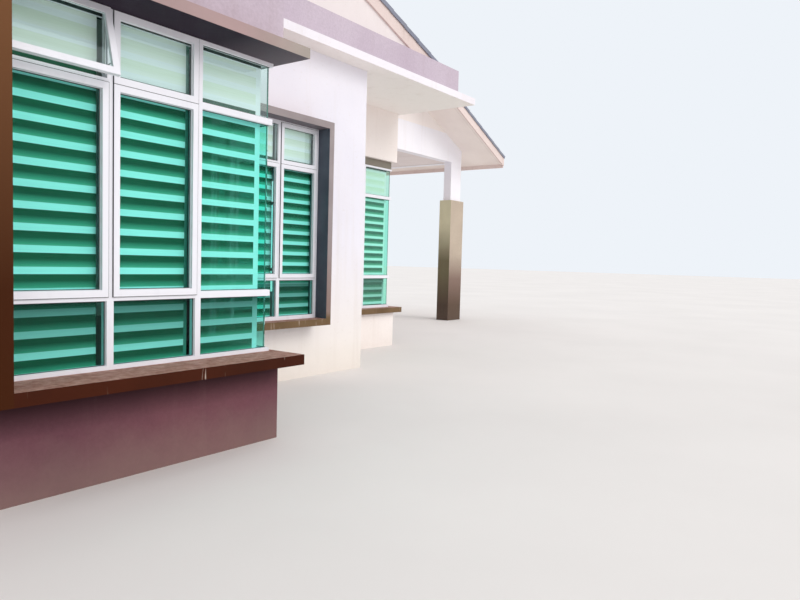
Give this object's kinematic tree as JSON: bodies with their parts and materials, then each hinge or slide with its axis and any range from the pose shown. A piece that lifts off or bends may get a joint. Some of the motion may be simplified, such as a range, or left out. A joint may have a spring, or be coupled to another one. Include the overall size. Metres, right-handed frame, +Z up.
{
  "type": "semi-detached house",
  "caption": "Single-storey semi-detached house half with stepped corner windows, boxed surrounds, gable roof over parapet bands and a gabled car porch on columns.",
  "frame": {"origin": "on the underside of the floor slab, near the middle of the plan", "axes": "+X towards the street and the porch, +Y from the yard to the party line, +Z up"},
  "size_m": [16.055, 9.458, 6.0864],
  "materials": {
    "concrete": "matt",
    "plum_plaster": "matt paint",
    "white_plaster": "matt paint",
    "cream_plaster": "matt paint",
    "roof_tile": "matt",
    "painted_board": "painted",
    "brown_surround": "satin paint",
    "taupe_cladding": "matt paint",
    "white_aluminium": "powder coat",
    "green_glass": "tinted",
    "blind_cloth": "woven",
    "door_wood": "varnished"
  },
  "bodies": {
    "root": {"floor_slab": "concrete", "rear_wall": "white_plaster", "wing_one_side_wall": "plum_plaster", "wing_one_end_wall": "plum_plaster", "wing_two_side_wall": "white_plaster", "wing_two_end_wall": "white_plaster", "bay_three_side_wall": "white_plaster", "front_wall": "white_plaster", "party_wall": "white_plaster", "flat_roof_slab": "white_plaster", "side_parapet": "plum_plaster", "front_parapet": "plum_plaster", "front_eaves_wall": "white_plaster", "rear_eaves_wall": "white_plaster", "main_gable_wall": "cream_plaster", "party_gable_wall": "white_plaster", "roof_front_slope": "roof_tile", "roof_rear_slope": "roof_tile", "roof_ridge_cap": "roof_tile", "main_barge_boards": "painted_board", "porch_column_one": "white_plaster", "porch_cladding_one": "taupe_cladding", "porch_column_two": "white_plaster", "porch_cladding_two": "taupe_cladding", "porch_side_beam": "white_plaster", "porch_party_beam": "white_plaster", "porch_gable_panel": "cream_plaster", "porch_party_panel": "cream_plaster", "porch_front_beam": "white_plaster", "porch_ceiling": "cream_plaster", "porch_front_slope": "roof_tile", "porch_rear_slope": "roof_tile", "porch_ridge_cap": "roof_tile", "porch_barge_boards": "painted_board", "porch_fascia": "painted_board", "window_one_surround": "brown_surround", "window_one_frame": "white_aluminium", "window_one_sashes": "white_aluminium", "window_one_panes": "green_glass", "window_one_vent": "white_aluminium", "window_one_vent_pane": "green_glass", "window_one_blinds": "blind_cloth", "window_two_surround": "brown_surround", "window_two_frame": "white_aluminium", "window_two_sashes": "white_aluminium", "window_two_panes": "green_glass", "window_two_blinds": "blind_cloth", "window_three_ledge": "brown_surround", "window_three_hood": "brown_surround", "window_three_frame": "white_aluminium", "window_three_sashes": "white_aluminium", "window_three_panes": "green_glass", "window_three_blinds": "blind_cloth", "front_window_frame": "white_aluminium", "front_window_panes": "green_glass", "front_door_frame": "door_wood", "front_door_leaf": "door_wood", "rear_window_frames": "white_aluminium", "rear_window_panes": "green_glass"}
  },
  "joints": []
}
